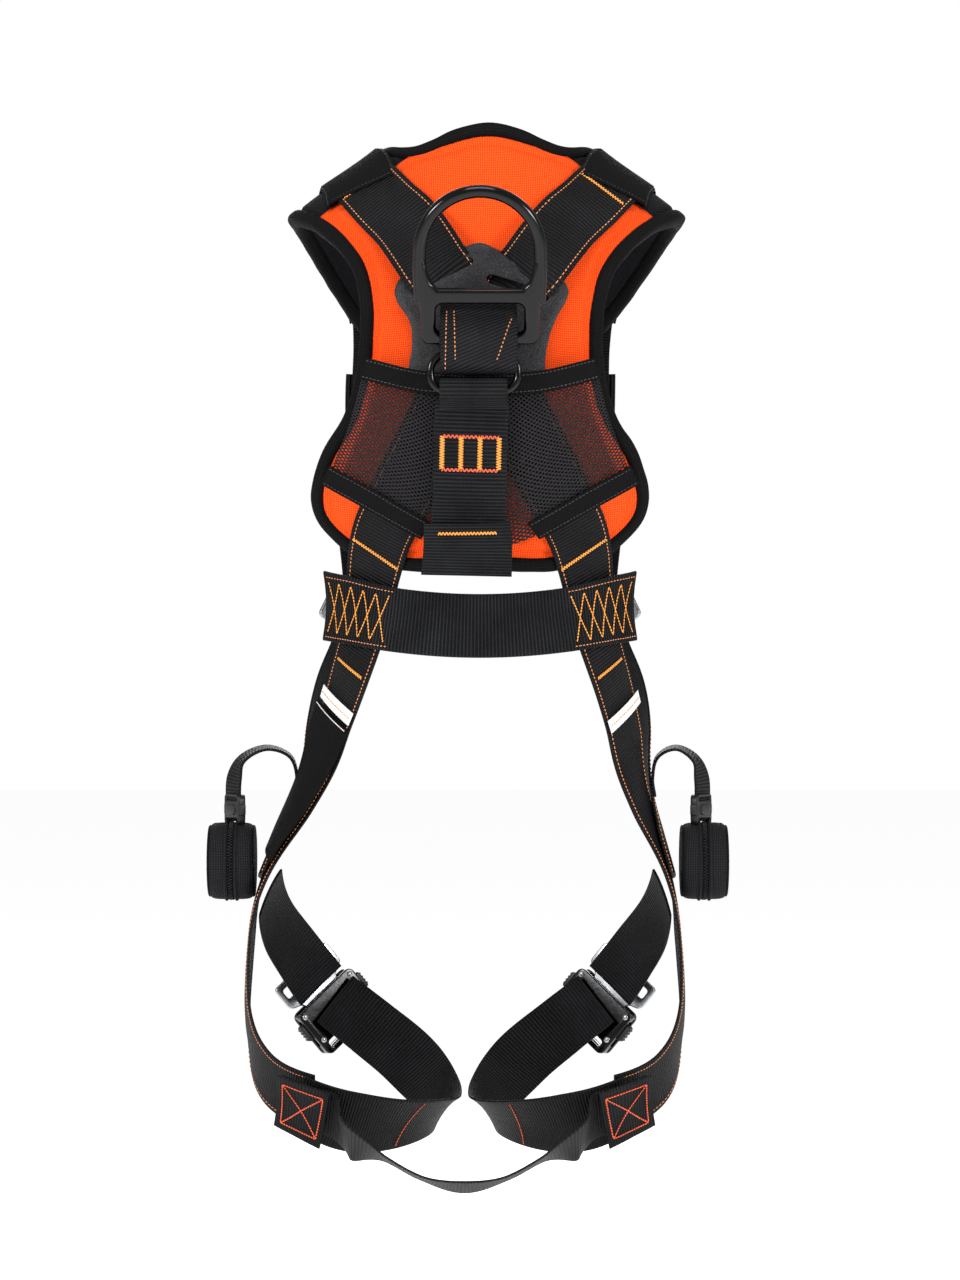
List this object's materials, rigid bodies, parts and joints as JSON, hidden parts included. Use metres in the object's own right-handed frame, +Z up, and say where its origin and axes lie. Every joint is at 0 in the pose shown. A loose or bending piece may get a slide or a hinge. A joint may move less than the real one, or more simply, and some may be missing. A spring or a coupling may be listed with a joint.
{
  "type": "full-body safety harness",
  "caption": "Full-body fall-arrest harness with padded back yoke, tilting dorsal D-ring, quick-connect chest and leg buckles and hip relief-strap pouches.",
  "frame": {"origin": "middle of the wearer's torso at the height of the waist strap, in the worn shape", "axes": "+Y the way the wearer faces, +X to the wearer's right, +Z up; the back pad is on the -Y side"},
  "size_m": [0.3784, 0.3201, 0.7588],
  "materials": {
    "orange_fabric": "plain-woven coated polyester, matt",
    "foam": "closed-cell foam, hidden",
    "spacer_mesh": "knitted mesh, matt",
    "label": "white woven label tape",
    "black_metal": "black powder coat, gloss",
    "steel": "satin plated steel",
    "moulded_plastic": "grained moulded nylon",
    "webbing": "black polyester webbing, ribbed",
    "black_fabric": "black woven binding, matt"
  },
  "bodies": {
    "harness_body": {"pad_binding": "black_fabric", "back_pad_lining": "spacer_mesh", "back_pad_foam": "foam", "back_pad_cover": "orange_fabric", "shoulder_pad_left": "black_fabric", "shoulder_pad_right": "black_fabric", "main_web_right": "webbing", "main_web_left": "webbing", "waist_strap": "webbing", "hip_web_left": "webbing", "hip_web_right": "webbing", "label_sleeve": "black_fabric", "label_tag_left": "label", "label_tag_right": "label", "mesh_cover": "spacer_mesh", "mesh_top_band": "black_fabric", "mesh_lower_band_left": "black_fabric", "mesh_lower_band_right": "black_fabric", "dorsal_plate": "moulded_plastic", "d_ring_wrap": "webbing", "connector_loop": "black_metal", "keeper_strap": "webbing", "keeper_fold": "webbing", "sub_pelvic_strap": "webbing", "chest_buckle_receptacle": "black_metal", "chest_web_right": "webbing", "chest_web_left": "webbing", "leg_web_left": "webbing", "leg_riser_left": "webbing", "seat_patch_left": "webbing", "left_leg_buckle_receptacle": "black_metal", "leg_web_right": "webbing", "leg_riser_right": "webbing", "seat_patch_right": "webbing", "right_leg_buckle_receptacle": "black_metal", "torso_adjuster_frame_left": "steel", "torso_adjuster_frame_right": "steel", "pouch_outer_shell_left": "black_fabric", "pouch_inner_shell_left": "black_fabric", "relief_strap_left": "webbing", "pouch_hanger_left": "webbing", "pouch_outer_shell_right": "black_fabric", "pouch_inner_shell_right": "black_fabric", "relief_strap_right": "webbing", "pouch_hanger_right": "webbing"},
    "d_ring": {"dorsal_d_ring": "black_metal"},
    "chest_tongue": {"chest_buckle_tongue": "steel"},
    "left_leg_tongue": {"left_leg_buckle_tongue": "steel"},
    "right_leg_tongue": {"right_leg_buckle_tongue": "steel"},
    "left_adjuster_bar": {"torso_adjuster_bar_left": "steel"},
    "right_adjuster_bar": {"torso_adjuster_bar_right": "steel"},
    "left_zip_slider": {"zip_slider_left": "black_metal"},
    "right_zip_slider": {"zip_slider_right": "black_metal"},
    "chest_tab_upper": {"chest_release_tab_upper": "moulded_plastic"},
    "chest_tab_lower": {"chest_release_tab_lower": "moulded_plastic"},
    "left_leg_tab_upper": {"left_leg_release_tab_upper": "moulded_plastic"},
    "left_leg_tab_lower": {"left_leg_release_tab_lower": "moulded_plastic"},
    "right_leg_tab_upper": {"right_leg_release_tab_upper": "moulded_plastic"},
    "right_leg_tab_lower": {"right_leg_release_tab_lower": "moulded_plastic"}
  },
  "joints": [
    {"name": "d_ring_tilt", "type": "hinge", "parent": "harness_body", "child": "d_ring", "pos_m": [0, -0.13996, 0.19458], "axis": [1, 0, 0], "range_deg": [-15, 100]},
    {"name": "chest_tongue_slide", "type": "slide", "parent": "harness_body", "child": "chest_tongue", "axis": [0.9999, 0.0136, -0.0002], "range_m": [0, 0.025]},
    {"name": "chest_release_upper", "type": "slide", "parent": "harness_body", "child": "chest_tab_upper", "axis": [0, 0.0187, 0.9998], "range_m": [0, 0.003], "stiffness_N_per_m": 800, "springref_m": -0.002},
    {"name": "chest_release_lower", "type": "slide", "parent": "harness_body", "child": "chest_tab_lower", "axis": [0, -0.0187, -0.9998], "range_m": [0, 0.003], "stiffness_N_per_m": 800, "springref_m": -0.002},
    {"name": "left_leg_tongue_slide", "type": "slide", "parent": "harness_body", "child": "left_leg_tongue", "axis": [-0.6106, -0.1957, 0.7674], "range_m": [0, 0.025]},
    {"name": "left_leg_release_upper", "type": "slide", "parent": "harness_body", "child": "left_leg_tab_upper", "axis": [-0.6634, -0.4028, -0.6306], "range_m": [0, 0.003], "stiffness_N_per_m": 800, "springref_m": -0.002},
    {"name": "left_leg_release_lower", "type": "slide", "parent": "harness_body", "child": "left_leg_tab_lower", "axis": [0.6634, 0.4028, 0.6306], "range_m": [0, 0.003], "stiffness_N_per_m": 800, "springref_m": -0.002},
    {"name": "right_leg_tongue_slide", "type": "slide", "parent": "harness_body", "child": "right_leg_tongue", "axis": [0.6106, -0.1957, 0.7674], "range_m": [0, 0.025]},
    {"name": "right_leg_release_upper", "type": "slide", "parent": "harness_body", "child": "right_leg_tab_upper", "axis": [-0.6634, 0.4028, 0.6306], "range_m": [0, 0.003], "stiffness_N_per_m": 800, "springref_m": -0.002},
    {"name": "right_leg_release_lower", "type": "slide", "parent": "harness_body", "child": "right_leg_tab_lower", "axis": [0.6634, -0.4028, -0.6306], "range_m": [0, 0.003], "stiffness_N_per_m": 800, "springref_m": -0.002},
    {"name": "left_adjuster_bar_slide", "type": "slide", "parent": "harness_body", "child": "left_adjuster_bar", "axis": [-0.4008, -0.295, -0.8674], "range_m": [-0.003, 0.003]},
    {"name": "right_adjuster_bar_slide", "type": "slide", "parent": "harness_body", "child": "right_adjuster_bar", "axis": [0.4008, -0.295, -0.8674], "range_m": [-0.003, 0.003]},
    {"name": "left_zip", "type": "hinge", "parent": "harness_body", "child": "left_zip_slider", "pos_m": [-0.18077, -0.005, -0.175], "axis": [-1, 0, 0], "range_deg": [0, 276]},
    {"name": "right_zip", "type": "hinge", "parent": "harness_body", "child": "right_zip_slider", "pos_m": [0.16323, -0.005, -0.175], "axis": [-1, 0, 0], "range_deg": [0, 276]}
  ],
  "couplings": [
    {"joint": "chest_release_lower", "follows": "chest_release_upper", "ratio": 1},
    {"joint": "left_leg_release_lower", "follows": "left_leg_release_upper", "ratio": 1},
    {"joint": "right_leg_release_lower", "follows": "right_leg_release_upper", "ratio": 1}
  ]
}
